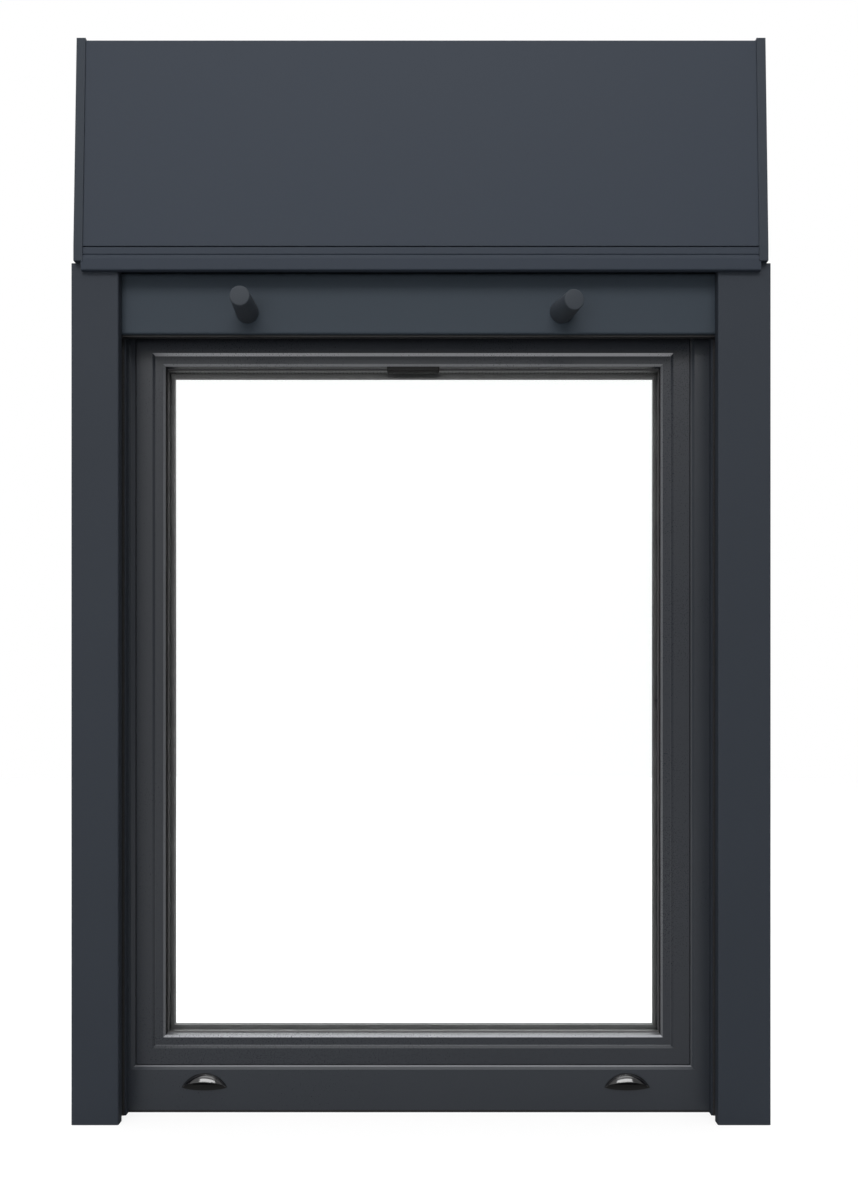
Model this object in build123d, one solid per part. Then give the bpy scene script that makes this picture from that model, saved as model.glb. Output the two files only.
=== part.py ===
from build123d import *
import math
import os

# Aluminium window with a roller shutter box on top, in millimetres.
# Seen from outdoors: X to the right, Z up, the room side towards +Y.
# The origin is the middle of the sill's underside.

# Overall sizes
overall_width = 700.0
frame_height = 862.0
frame_depth = 60.0
box_rise = 226.5
box_side_inset = 4.5
box_rear_reach = 112.0

# Visible faces of the fixed frame, from its outer edge to the sash
sill_face = 47.5
head_face = 59.0
left_jamb_face = 53.5
right_jamb_face = 71.5

# Fixed frame section
frame_wall = 2.0
frame_edge_chamfer = 3.5
frame_front_leg_depth = 10.0
frame_floor_drop = 24.0
frame_rear_leg_depth = 8.0
frame_rear_leg_drop = 14.0
break_rear = 3.0
mitre_margin = 20.0

# Sash section, measured inwards from the frame's edge
sash_gap = 0.8
sash_setback = 3.5
sash_face = 30.0
sash_step_start = 17.5
sash_step_depth = 2.5
sash_inner_bevel = 2.0
sash_lip_depth = 12.5
sash_wall = 2.0
sash_body_drop = 12.0
sash_body_setback = 6.0
rebate_base = 12.0
flange_drop = 20.0
flange_thickness = 4.5
sash_stand_out = 8.0

# Glazing
gasket_thickness = 3.0
gasket_proud = 0.8
gasket_bite = 8.0
pane_thickness = 4.0
pane_space = 16.0
glass_clearance = 4.0
spacer_bite = 11.0
bead_flat = 3.0
bead_slope = 7.0
bead_wall = 1.8
bead_rear_setback = 1.0

# Drain caps and drain slots on the sill, and the vent cap in the sash
drain_cap_width = 46.7
drain_cap_rise = 14.4
drain_cap_mouth = 7.5
drain_cap_depth = 8.5
drain_cap_wall = 1.5
drain_plate = 1.0
drain_plate_drop = 3.0
drain_height = 26.0
left_drain_inset = 72.1
right_drain_inset = 66.3
drain_slot_width = 24.0
drain_slot_height = 4.0
drain_slot_rise = 5.0
vent_cap_width = 54.5
vent_cap_depth = 8.0
vent_cap_drop = 4.0
sill_seal_height = 2.5
sill_seal_depth = 6.0

# Fixing holes through the jambs
fixing_hole_radius = 3.25
fixing_hole_margin = 150.0

# Shutter guides
left_guide_face = 47.3
right_guide_face = 53.0
guide_depth = 33.0
guide_wall = 2.0
guide_edge_radius = 1.5
guide_spine = 15.0
guide_front_lip = 10.5
guide_channel = 14.0
brush_width = 5.0
brush_setback = 1.5
brush_clearance = 0.3

# Curtain: bottom bar, slats and axle
bar_thickness = 11.0
bar_wall = 1.8
bar_height = 66.0
bar_end_clearance = 4.0
bar_edge_radius = 2.0
bar_seal_height = 2.0
bar_seal_thickness = 5.0
slat_pitch = 38.5
slat_thickness = 8.0
slat_wall = 1.0
slat_edge = 1.8
knuckle_sides = 8
knuckle_radius = 2.6
knuckle_neck = 1.2
knuckle_play = 0.2
socket_wall = 1.2
socket_mouth = 132.0
hanging_slats = 3
spare_slats = 1
roll_core_clearance = 6.8
roll_layer = 13.0
axle_sides = 8
axle_across_flats = 60.0
axle_wall = 1.5
axle_end_gap = 10.0
bearing_pin_radius = 6.0
bearing_plug_length = 30.0
bearing_play = 0.3

# Stop pegs on the bottom bar
peg_length = 40.0
peg_base_radius = 12.0
peg_tip_radius = 9.9
peg_edge = 1.0
peg_rise = 22.0
left_peg_inset = 155.0
right_peg_inset = 189.0
right_peg_swing = 11.5
right_peg_droop = 5.0

# Shutter box
end_cap_thickness = 9.0
end_cap_proud = 1.0
panel_wall = 2.5
box_edge_radius = 2.4
box_front_proud = 5.0
box_lean = 9.0
lip_drop = 9.0
lip_height = 24.0
lip_tongue = 13.0
lip_shelf = 14.0
lip_ear = 2.0
lip_edge_radius = 1.5
lip_bulge = 0.6
lip_groove_height = 15.4
lip_groove_depth = 0.8
panel_joint = 1.2
panel_return = 15.0
base_rail_height = 10.0
base_rail_clearance = 0.3
rim_length = 12.0
rim_wall = 2.0
rim_clearance = 0.3

# Handle and hinges on the room side
rosette_width = 28.0
rosette_height = 72.0
rosette_depth = 10.0
rosette_edge = 2.0
handle_height = 430.0
neck_radius = 9.0
neck_length = 27.0
lever_length = 118.0
lever_head_radius = 11.0
lever_tip_radius = 8.5
lever_thickness = 11.0
lever_edge = 2.2
hinge_barrel_radius = 7.0
hinge_knuckle_length = 32.0
hinge_knuckle_gap = 1.2
hinge_pin_radius = 4.5
hinge_leaf_thickness = 3.0
hinge_leaf_width = 18.0
hinge_inset = 95.0
hinge_clearance = 0.3

# Places worked out from the sizes above
half_width = overall_width / 2
frame_front = -frame_depth / 2
frame_rear = frame_depth / 2
opening_left = -half_width + left_jamb_face
opening_right = half_width - right_jamb_face
opening_bottom = sill_face
opening_top = frame_height - head_face
opening_width = opening_right - opening_left
opening_height = opening_top - opening_bottom
mitre_reach = max(sill_face, head_face, left_jamb_face, right_jamb_face) + mitre_margin
sash_front = frame_front + sash_setback
sash_rear = frame_rear + sash_stand_out
flange_front = sash_rear - flange_thickness
lip_rear = sash_front + sash_lip_depth
glass_front = lip_rear + gasket_thickness
inner_pane_front = glass_front + pane_thickness + pane_space
glass_rear = inner_pane_front + pane_thickness
bead_front = glass_rear + gasket_thickness
bead_rear = sash_rear - bead_rear_setback
bead_edge = sash_face + gasket_proud
guide_front = frame_front - guide_depth
guide_top = frame_height
channel_front = guide_front + guide_front_lip
channel_rear = channel_front + guide_channel
curtain_y = (channel_front + channel_rear) / 2
curtain_left = -half_width + guide_spine + bar_end_clearance
curtain_right = half_width - guide_spine - bar_end_clearance
bar_hinge_z = frame_height
bar_underside = bar_hinge_z - bar_height
slat_count = math.ceil((frame_height - bar_height) / slat_pitch) + spare_slats
rolled_slats = slat_count - hanging_slats
axle_corner = axle_across_flats / 2 / math.cos(math.pi / axle_sides)
core_radius = axle_corner + slat_thickness / 2 + roll_core_clearance
roll_radius = math.sqrt(core_radius ** 2 + rolled_slats * slat_pitch * roll_layer / math.pi)
axle_y = curtain_y + roll_radius
axle_z = bar_hinge_z + hanging_slats * slat_pitch
box_left = -half_width + box_side_inset
box_right = half_width - box_side_inset
panel_left = box_left + end_cap_thickness
panel_right = box_right - end_cap_thickness
box_front = guide_front - box_front_proud
box_rear = frame_rear + box_rear_reach
box_top = frame_height + box_rise
lip_bottom = frame_height - lip_drop
lip_top = lip_bottom + lip_height
box_front_top = box_front + box_lean
left_drain_x = opening_left + left_drain_inset
right_drain_x = opening_right - right_drain_inset
left_peg_x = curtain_left + left_peg_inset
right_peg_x = curtain_right - right_peg_inset
peg_height = bar_underside + peg_rise


def outline(*points):
    """Flat face inside a closed run of corners."""
    return make_face(Polyline(*points, close=True))


def chamber(inner, outer, front, rear):
    """Rectangular hollow between two heights and two depths of a section."""
    middle = Pos((inner + outer) / 2, (front + rear) / 2)
    return middle * Rectangle(abs(outer - inner), abs(rear - front))


def side_plane(side):
    """Plane of a section: first axis towards the glass, second axis towards the room."""
    if side == "left":
        return Plane((opening_left, 0, 0), x_dir=(1, 0, 0), z_dir=(0, 0, 1))
    if side == "right":
        return Plane((opening_right, 0, frame_height), x_dir=(-1, 0, 0), z_dir=(0, 0, -1))
    if side == "bottom":
        return Plane((half_width, 0, opening_bottom), x_dir=(0, 0, 1), z_dir=(-1, 0, 0))
    return Plane((-half_width, 0, opening_top), x_dir=(0, 0, -1), z_dir=(1, 0, 0))


def mitre_block(side):
    """Block that keeps one side between its two mitre cuts."""
    reach = mitre_reach
    left = opening_left
    right = opening_right
    low = opening_bottom
    high = opening_top
    low_left = ((left - reach, low - reach), (left + reach, low + reach))
    low_right = ((right + reach, low - reach), (right - reach, low + reach))
    high_left = ((left - reach, high + reach), (left + reach, high - reach))
    high_right = ((right + reach, high + reach), (right - reach, high - reach))
    ends = {
        "left": (low_left, high_left),
        "right": (low_right, high_right),
        "bottom": (low_left, low_right),
        "top": (high_left, high_right),
    }
    first, second = ends[side]
    face = Plane.XZ * outline(first[0], first[1], second[1], second[0])
    return extrude(face, amount=mitre_reach, both=True)


def mitred_side(section, side):
    """One side of a four-sided frame, run past its corners and cut on its mitres."""
    run = frame_height if side in ("left", "right") else overall_width
    plane = side_plane(side)
    bar = extrude(plane * section, amount=run, dir=plane.z_dir)
    return bar & mitre_block(side)


def ring(inner, outer, front, rear):
    """Closed rectangular ring between two distances from the frame's edge."""
    whole = opening_block(outer, front, rear)
    return whole - opening_block(inner, front, rear)


def opening_block(inset, front, rear):
    """Block the size of the frame's opening, inset on all sides."""
    middle_x = (opening_left + opening_right) / 2
    middle_z = (opening_bottom + opening_top) / 2
    width = opening_width - 2 * inset
    height = opening_height - 2 * inset
    return Pos(middle_x, (front + rear) / 2, middle_z) * Box(width, rear - front, height)


def across(section, start, end):
    """Section drawn as depth and height, extruded along the width."""
    return extrude(Plane.YZ.offset(start) * section, amount=end - start, dir=(1, 0, 0))


# Fixed frame
def frame_section(face):
    """Hollow frame profile with a front leg, a rebate floor and a rear leg."""
    leg_rear = frame_front + frame_front_leg_depth
    rear_leg = frame_rear - frame_rear_leg_depth
    floor = -frame_floor_drop
    profile = outline(
        (-face, frame_front),
        (-frame_edge_chamfer, frame_front),
        (0, frame_front + frame_edge_chamfer),
        (0, leg_rear),
        (floor, leg_rear),
        (floor, rear_leg),
        (-frame_rear_leg_drop, rear_leg),
        (-frame_rear_leg_drop, frame_rear),
        (-face, frame_rear),
    )
    wall = frame_wall
    foot = -face + wall
    profile -= chamber(foot, -frame_edge_chamfer - wall / 2, frame_front + wall, leg_rear - wall)
    profile -= chamber(foot, floor - wall, leg_rear, break_rear)
    return profile - chamber(foot, floor - wall, break_rear + wall, frame_rear - wall)


def drain_slots():
    """Two slots through the front wall of the sill, behind the drain caps."""
    size = Box(drain_slot_width, 2 * frame_wall, drain_slot_height)
    height = drain_height + drain_slot_rise
    return [Pos(x, frame_front, height) * size for x in (left_drain_x, right_drain_x)]


def frame_sill():
    rail = mitred_side(frame_section(sill_face), "bottom")
    for slot in drain_slots():
        rail -= slot
    seal_rear = frame_front + sill_seal_depth
    seal = Box(overall_width, 2 * sill_seal_depth, 2 * sill_seal_height)
    return rail - Pos(0, seal_rear - sill_seal_depth, 0) * seal


def sill_seal_strip():
    """Black strip let into the bottom front edge of the sill."""
    start = opening_left - sill_face + sill_seal_height
    end = opening_right + sill_face - sill_seal_height
    rear = frame_front + sill_seal_depth
    return across(chamber(frame_front, rear, 0, sill_seal_height), start, end)


def frame_head():
    return mitred_side(frame_section(head_face), "top")


def frame_jamb(side):
    """Jamb with two fixing holes through its rebate floor and outer wall."""
    face = left_jamb_face if side == "left" else right_jamb_face
    jamb = mitred_side(frame_section(face), side)
    outer = -half_width if side == "left" else half_width
    drill = Rot(0, 90, 0) * Cylinder(fixing_hole_radius, 2 * face)
    for height in (fixing_hole_margin, frame_height - fixing_hole_margin):
        jamb -= Pos(outer, 0, height) * drill
    return jamb


def hood_block(half, rise, depth):
    """Block with an arched roof seen from the front and a bowed front seen from above."""
    base = Line((half, 0), (-half, 0))
    roof = make_face([ThreePointArc((-half, 0), (0, rise), (half, 0)), base])
    bow = make_face([ThreePointArc((-half, 0), (0, depth), (half, 0)), base])
    return extrude(roof, amount=depth) & extrude(Plane.XZ * bow, amount=-rise)


def drain_cap(x):
    """Hood over a drain slot, open underneath, its lower edge arched."""
    half = drain_cap_width / 2
    wall = drain_cap_wall
    hood = hood_block(half, drain_cap_rise, drain_cap_depth)
    hood -= hood_block(half - 2 * wall, drain_cap_rise - wall, drain_cap_depth - wall)
    arch = ThreePointArc((-half, 0), (0, drain_cap_mouth), (half, 0))
    mouth = extrude(make_face([arch, Line((half, 0), (-half, 0))]), amount=drain_cap_depth)
    roof = ThreePointArc((-half, 0), (0, drain_cap_rise), (half, 0))
    chin = ThreePointArc((half, 0), (0, -drain_plate_drop), (-half, 0))
    plate = extrude(make_face([roof, chin]), amount=drain_plate)
    slot = Pos(0, drain_slot_rise) * Rectangle(drain_slot_width, drain_slot_height)
    plate -= extrude(slot, amount=drain_plate)
    return Pos(x, frame_front, drain_height) * Rot(90, 0, 0) * (hood - mouth + plate)


# Sash
def sash_section():
    """Hollow sash profile with a stepped face, a glazing rebate and a room-side flange."""
    step_end = sash_step_start + sash_step_depth
    band_front = sash_front + sash_step_depth
    body_front = frame_front + frame_front_leg_depth + sash_body_setback
    profile = outline(
        (sash_gap, sash_front),
        (sash_step_start, sash_front),
        (step_end, band_front),
        (sash_face - sash_inner_bevel, band_front),
        (sash_face, band_front + sash_inner_bevel),
        (sash_face, lip_rear),
        (rebate_base, lip_rear),
        (rebate_base, sash_rear),
        (-flange_drop, sash_rear),
        (-flange_drop, flange_front),
        (-sash_body_drop, flange_front),
        (-sash_body_drop, body_front),
        (sash_gap, body_front),
    )
    wall = sash_wall
    low = -sash_body_drop + wall
    high = rebate_base - wall
    lip_front = band_front + wall
    profile -= chamber(sash_gap + wall, sash_face - wall, lip_front, lip_rear - wall)
    profile -= chamber(low, high, body_front + wall, break_rear + wall)
    return profile - chamber(low, high, break_rear + 2 * wall, sash_rear - wall)


def sash_side(side):
    return mitred_side(sash_section(), side)


def vent_block():
    """Space of the vent cap under the top rail's lip."""
    middle_x = (opening_left + opening_right) / 2
    rear = lip_rear
    height = vent_cap_drop + sash_wall
    middle_z = opening_top - sash_face - vent_cap_drop + height / 2
    place = Pos(middle_x, rear - vent_cap_depth / 2, middle_z)
    return place * Box(vent_cap_width, vent_cap_depth, height)


def sash_top_rail():
    return sash_side("top") - vent_block()


def sash_rebate_seal():
    """Seal between the sash's flange and the frame's rear face."""
    return ring(-frame_rear_leg_drop, -flange_drop, frame_rear, flange_front)


def bead_section():
    """Hollow glazing bead with a short flat and a sloped room side."""
    wall = bead_wall
    profile = outline(
        (rebate_base, bead_front),
        (bead_edge, bead_front),
        (bead_edge, bead_front + bead_flat),
        (bead_edge - bead_slope, bead_rear),
        (rebate_base, bead_rear),
    )
    crest = bead_edge - bead_slope - wall
    return profile - chamber(rebate_base + wall, crest, bead_front + wall, bead_rear - wall)


def glazing_bead(side):
    return mitred_side(bead_section(), side)


def glass_pane(front):
    return opening_block(rebate_base + glass_clearance, front, front + pane_thickness)


def glass_spacer():
    outer = rebate_base + glass_clearance
    return ring(outer + spacer_bite, outer, glass_front + pane_thickness, inner_pane_front)


def glazing_gasket(front):
    return ring(bead_edge, bead_edge - gasket_bite, front, front + gasket_thickness)


# Shutter guides
def guide_section(face):
    """Hollow guide profile: outer spine, front lip and rear lip round a slat channel."""
    wall = guide_wall
    profile = outline(
        (0, guide_front),
        (face, guide_front),
        (face, channel_front),
        (guide_spine, channel_front),
        (guide_spine, channel_rear),
        (face, channel_rear),
        (face, frame_front),
        (0, frame_front),
    )
    profile = fillet(profile.vertices().group_by(Axis.Y)[0], guide_edge_radius)
    spine = chamber(wall, guide_spine - wall, guide_front + wall, frame_front - wall)
    front_lip = chamber(guide_spine, face - wall, guide_front + wall, channel_front - wall)
    rear_lip = chamber(guide_spine, face - wall, channel_rear + wall, frame_front - wall)
    return profile - spine - front_lip - rear_lip


def guide_plane(side):
    if side == "left":
        return Plane((-half_width, 0, 0), x_dir=(1, 0, 0), z_dir=(0, 0, 1))
    return Plane((half_width, 0, guide_top), x_dir=(-1, 0, 0), z_dir=(0, 0, -1))


def guide(side):
    face = left_guide_face if side == "left" else right_guide_face
    plane = guide_plane(side)
    return extrude(plane * guide_section(face), amount=guide_top, dir=plane.z_dir)


def guide_brush(side):
    """Two brush strips at the channel's mouth, one on each lip."""
    face = left_guide_face if side == "left" else right_guide_face
    bar_front = curtain_y - bar_thickness / 2
    bar_rear = curtain_y + bar_thickness / 2
    high = face - brush_setback
    low = high - brush_width
    front_strip = chamber(low, high, channel_front, bar_front - brush_clearance)
    rear_strip = chamber(low, high, bar_rear + brush_clearance, channel_rear)
    plane = guide_plane(side)
    return extrude(plane * (front_strip + rear_strip), amount=guide_top, dir=plane.z_dir)


# Curtain
def knuckle(height):
    """Eight-sided bead on a thin neck, centred on the hinge line above a slat."""
    neck_length = knuckle_reach() + socket_wall
    neck = Pos(0, height - neck_length / 2) * Rectangle(knuckle_neck, neck_length)
    return neck + Pos(0, height) * RegularPolygon(knuckle_radius, knuckle_sides)


def knuckle_reach():
    """Distance from a hinge line to the body of the slat below it."""
    return knuckle_radius + knuckle_play + socket_wall + knuckle_play


def socket_ring():
    """Curled foot of a slat, open below, that holds the knuckle of the one under it."""
    inner = knuckle_radius + knuckle_play
    outer = inner + socket_wall
    half_mouth = math.radians(socket_mouth / 2)
    side = 2 * outer * math.sin(half_mouth)
    drop = 2 * outer * math.cos(half_mouth)
    mouth = outline((0, 0), (side, -drop), (0, -2 * outer), (-side, -drop))
    shell = RegularPolygon(outer, knuckle_sides, major_radius=False)
    return shell - RegularPolygon(inner, knuckle_sides, major_radius=False) - mouth


def slat_section():
    """Hollow slat from its socket at the origin to its knuckle one pitch above."""
    foot = knuckle_radius + knuckle_play + socket_wall / 2
    head = slat_pitch - knuckle_reach() - socket_wall / 2
    middle = (foot + head) / 2
    body = chamfer((Pos(0, middle) * Rectangle(slat_thickness, head - foot)).vertices(), slat_edge)
    end_wall = slat_edge + slat_wall
    hollow = Pos(0, middle) * Rectangle(slat_thickness - 2 * slat_wall, head - foot - 2 * end_wall)
    return (body - hollow) + socket_ring() + knuckle(slat_pitch)


def roll_hinges():
    """Hinge lines of the curtain, as depth and height, from the bottom bar to the roll's core."""
    points = [(curtain_y, bar_hinge_z + i * slat_pitch) for i in range(hanging_slats + 1)]
    turn = math.pi
    for _ in range(rolled_slats):
        radius = roll_radius - roll_layer * (math.pi - turn) / (2 * math.pi)
        turn -= 2 * math.asin(slat_pitch / (2 * radius))
        radius = roll_radius - roll_layer * (math.pi - turn) / (2 * math.pi)
        goal_y = axle_y + radius * math.cos(turn)
        goal_z = axle_z + radius * math.sin(turn)
        last_y, last_z = points[-1]
        stretch = slat_pitch / math.hypot(goal_y - last_y, goal_z - last_z)
        points.append((last_y + (goal_y - last_y) * stretch, last_z + (goal_z - last_z) * stretch))
    return points


def shutter_curtain():
    """Linked slats hanging from the roll and wound round the axle."""
    hinges = roll_hinges()
    slats = []
    for low, high in zip(hinges, hinges[1:]):
        lean = math.degrees(math.atan2(low[0] - high[0], high[1] - low[1]))
        section = Pos(*low) * Rot(0, 0, lean) * slat_section()
        slats.append(across(section, curtain_left, curtain_right))
    return Compound(children=slats)


def shutter_bottom_bar():
    """Hollow end bar of the curtain, hooked into the lowest slat."""
    top = bar_height - knuckle_reach()
    body = Pos(0, top / 2) * RectangleRounded(bar_thickness, top, bar_edge_radius)
    hollow = Pos(0, top / 2) * Rectangle(bar_thickness - 2 * bar_wall, top - 2 * bar_wall)
    section = (body - hollow) + knuckle(bar_height)
    return across(Pos(curtain_y, bar_underside) * section, curtain_left, curtain_right)


def bottom_bar_seal():
    place = Pos(curtain_y, bar_underside - bar_seal_height / 2)
    section = place * Rectangle(bar_seal_thickness, bar_seal_height)
    return across(section, curtain_left, curtain_right)


def stop_peg(x, swing, droop):
    """Conical rubber stop standing out of the bottom bar, cut flat where it seats."""
    profile = outline(
        (0, -peg_base_radius),
        (peg_base_radius, -peg_base_radius),
        (peg_base_radius, 0),
        (peg_tip_radius, peg_length - peg_edge),
        (peg_tip_radius - peg_edge, peg_length),
        (0, peg_length),
    )
    body = Rot(-droop, 0, swing) * Rot(90, 0, 0) * revolve(Plane.XZ * profile, Axis.Z)
    bar_front = curtain_y - bar_thickness / 2
    reach = 2 * peg_length
    keep = Pos(0, -reach / 2, 0) * Box(reach, reach, reach)
    return Pos(x, bar_front, peg_height) * (body & keep)


def shutter_axle():
    """Eight-sided tube that carries the roll."""
    outer = RegularPolygon(axle_across_flats / 2, axle_sides, major_radius=False)
    inner = RegularPolygon(axle_across_flats / 2 - axle_wall, axle_sides, major_radius=False)
    section = Pos(axle_y, axle_z) * (outer - inner)
    return across(section, panel_left + axle_end_gap, panel_right - axle_end_gap)


def axle_bearing(side):
    """Eight-sided plug in the end of the axle with a pin that rests against the end cap."""
    plug_reach = axle_across_flats / 2 - axle_wall - bearing_play
    plug_section = RegularPolygon(plug_reach, axle_sides, major_radius=False)
    if side == "left":
        pin = across(Circle(bearing_pin_radius), panel_left, panel_left + axle_end_gap)
        start = panel_left + axle_end_gap
    else:
        pin = across(Circle(bearing_pin_radius), panel_right - axle_end_gap, panel_right)
        start = panel_right - axle_end_gap - bearing_plug_length
    plug = across(plug_section, start, start + bearing_plug_length)
    return Pos(0, axle_y, axle_z) * (pin + plug)


# Shutter box
def lean_at(height):
    """Depth of the box's front face at a height."""
    return box_front + box_lean * (height - lip_top) / (box_top - lip_top)


def box_front_lip():
    """Lower front profile: overlaps the guides, hooks behind the panel, its ears under the caps."""
    wall = panel_wall
    groove = lip_bottom + lip_groove_height
    tongue_top = lip_top + lip_tongue
    bulge = lip_bottom + lip_height / 2 - lip_groove_depth
    shelf_rear = box_front + lip_shelf
    section = outline(
        (box_front, lip_bottom),
        (box_front - lip_bulge, bulge),
        (box_front - lip_bulge / 2, groove - lip_groove_depth),
        (box_front + lip_groove_depth, groove),
        (box_front, groove + lip_groove_depth),
        (box_front, lip_top - panel_joint),
        (lean_at(lip_top) + wall, lip_top - panel_joint),
        (lean_at(tongue_top) + wall, tongue_top),
        (lean_at(tongue_top) + 2 * wall, tongue_top),
        (box_front + 2 * wall, frame_height + wall),
        (shelf_rear, frame_height + wall),
        (shelf_rear, frame_height),
        (guide_front, frame_height),
        (guide_front, lip_bottom),
    )
    corner = section.vertices().sort_by_distance((box_front, lip_bottom))[0]
    section = fillet(corner, lip_edge_radius)
    skirt = section - above(frame_height)
    body = across(section, panel_left, panel_right)
    return body + across(skirt, panel_left - lip_ear, panel_right + lip_ear)


def box_front_panel():
    """Leaning front panel with a return along its top."""
    wall = panel_wall
    section = outline(
        (lean_at(lip_top), lip_top),
        (box_front_top, box_top),
        (box_front_top + panel_return, box_top),
        (box_front_top + panel_return, box_top - wall),
        (lean_at(box_top - wall) + wall, box_top - wall),
        (lean_at(lip_top) + wall, lip_top),
    )
    edge = section.vertices().sort_by_distance((box_front_top, box_top))[0]
    return across(fillet(edge, box_edge_radius), panel_left, panel_right)


def box_top_panel():
    start = box_front_top + panel_return
    section = chamber(start, box_rear - panel_wall, box_top - panel_wall, box_top)
    return across(section, panel_left, panel_right)


def box_rear_panel():
    section = chamber(box_rear - panel_wall, box_rear, frame_height, box_top)
    return across(section, panel_left, panel_right)


def box_underside_panel():
    """Removable panel under the box, behind the frame."""
    section = chamber(frame_rear, box_rear - panel_wall, frame_height, frame_height + panel_wall)
    return across(section, panel_left, panel_right)


def box_base_rail():
    """Hollow rail that joins the box to the frame's head."""
    rear = frame_rear - base_rail_clearance
    top = frame_height + base_rail_height
    wall = panel_wall
    section = chamber(frame_front, rear, frame_height, top)
    hollow = chamber(frame_front + wall, rear - wall, frame_height + wall, top - wall)
    return across(section - hollow, panel_left, panel_right)


def above(height):
    """Wide face above a height, to trim a side view."""
    reach = box_top + box_rear
    return Pos(0, height + reach) * Rectangle(2 * reach, 2 * reach)


def end_cap_face(inset):
    """Side view of the box, inset on all sides."""
    return outline(
        (box_front + inset, frame_height + inset),
        (lean_at(lip_top) + inset, lip_top),
        (box_front_top + inset, box_top - inset),
        (box_rear - inset, box_top - inset),
        (box_rear - inset, frame_height + inset),
    )


def box_end_cap(side):
    """Cheek that closes the box, with a short rim inside the panels."""
    plate = offset(end_cap_face(0), amount=end_cap_proud, kind=Kind.INTERSECTION)
    plate = plate & above(frame_height)
    rim_edge = panel_wall + rim_clearance
    rim = end_cap_face(rim_edge) - end_cap_face(rim_edge + rim_wall)
    rim = rim & above(lip_top + lip_tongue + rim_clearance)
    if side == "left":
        return across(plate, box_left, panel_left) + across(rim, panel_left, panel_left + rim_length)
    return across(plate, panel_right, box_right) + across(rim, panel_right - rim_length, panel_right)


# Handle and hinges
def handle_x():
    """Middle of the left stile's room side."""
    return opening_left + (rebate_base - flange_drop) / 2


def handle_rosette():
    """Oval plate under the lever, its outer edge chamfered."""
    slot = SlotCenterToCenter(rosette_height - rosette_width, rosette_width, rotation=90)
    plate = extrude(Plane.XZ * slot, amount=-rosette_depth)
    plate = chamfer(plate.faces().sort_by(Axis.Y)[-1].edges(), rosette_edge)
    return Pos(handle_x(), sash_rear, handle_height) * plate


def handle_lever():
    """Flat lever tapering to its tip, on a round neck, turned down."""
    neck = extrude(Plane.XZ * Circle(neck_radius), amount=-neck_length)
    head = Circle(lever_head_radius)
    tip = Pos(0, lever_tip_radius - lever_length) * Circle(lever_tip_radius)
    grip = extrude(Plane.XZ.offset(-neck_length) * make_hull(head.edges() + tip.edges()),
                   amount=-lever_thickness)
    grip = chamfer(grip.faces().sort_by(Axis.Y)[-1].edges(), lever_edge)
    return Pos(handle_x(), sash_rear + rosette_depth, handle_height) * (neck + grip)


def hinge(height):
    """Hinge of two knuckles on a pin, the lower leaf on the frame and the upper on the sash."""
    barrel_x = opening_right + flange_drop + hinge_clearance + hinge_barrel_radius
    barrel_y = frame_rear + hinge_clearance + hinge_barrel_radius
    leaf = Box(hinge_leaf_width, hinge_leaf_thickness, hinge_knuckle_length)
    knuckle_barrel = Cylinder(hinge_barrel_radius, hinge_knuckle_length)
    rise = (hinge_knuckle_length + hinge_knuckle_gap) / 2
    pin = Pos(barrel_x, barrel_y, height) * Cylinder(hinge_pin_radius, hinge_knuckle_length)
    lower = Pos(barrel_x, barrel_y, height - rise) * knuckle_barrel
    upper = Pos(barrel_x, barrel_y, height + rise) * knuckle_barrel
    leaf_lift = hinge_leaf_thickness / 2
    frame_leaf = Pos(barrel_x + hinge_leaf_width / 2, frame_rear + leaf_lift, height - rise) * leaf
    sash_leaf = Pos(barrel_x - hinge_leaf_width / 2, sash_rear + leaf_lift, height + rise) * leaf
    return pin + lower + upper + frame_leaf + sash_leaf


def all_nodes():
    """Every node of the window by name."""
    nodes = {
        "frame_sill": frame_sill(),
        "frame_head": frame_head(),
        "frame_left_jamb": frame_jamb("left"),
        "frame_right_jamb": frame_jamb("right"),
        "sill_seal_strip": sill_seal_strip(),
        "left_drain_cap": drain_cap(left_drain_x),
        "right_drain_cap": drain_cap(right_drain_x),
        "sash_bottom_rail": sash_side("bottom"),
        "sash_top_rail": sash_top_rail(),
        "sash_left_stile": sash_side("left"),
        "sash_right_stile": sash_side("right"),
        "sash_vent_cap": vent_block(),
        "sash_rebate_seal": sash_rebate_seal(),
        "outer_glazing_gasket": glazing_gasket(lip_rear),
        "inner_glazing_gasket": glazing_gasket(glass_rear),
        "glass_outer_pane": glass_pane(glass_front),
        "glass_inner_pane": glass_pane(inner_pane_front),
        "glass_spacer": glass_spacer(),
        "handle_rosette": handle_rosette(),
        "handle_lever": handle_lever(),
        "upper_hinge": hinge(opening_top - hinge_inset),
        "lower_hinge": hinge(opening_bottom + hinge_inset),
        "shutter_bottom_bar": shutter_bottom_bar(),
        "bottom_bar_seal": bottom_bar_seal(),
        "left_stop_peg": stop_peg(left_peg_x, 0, 0),
        "right_stop_peg": stop_peg(right_peg_x, right_peg_swing, right_peg_droop),
        "shutter_curtain": shutter_curtain(),
        "shutter_axle": shutter_axle(),
        "box_front_panel": box_front_panel(),
        "box_front_lip": box_front_lip(),
        "box_top_panel": box_top_panel(),
        "box_rear_panel": box_rear_panel(),
        "box_underside_panel": box_underside_panel(),
        "box_base_rail": box_base_rail(),
    }
    for side in ("left", "right"):
        nodes[side + "_guide"] = guide(side)
        nodes[side + "_guide_brush"] = guide_brush(side)
        nodes[side + "_axle_bearing"] = axle_bearing(side)
        nodes["box_" + side + "_end_cap"] = box_end_cap(side)
    for side in ("bottom", "top", "left", "right"):
        nodes["glazing_bead_" + side] = glazing_bead(side)
    return nodes


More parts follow.
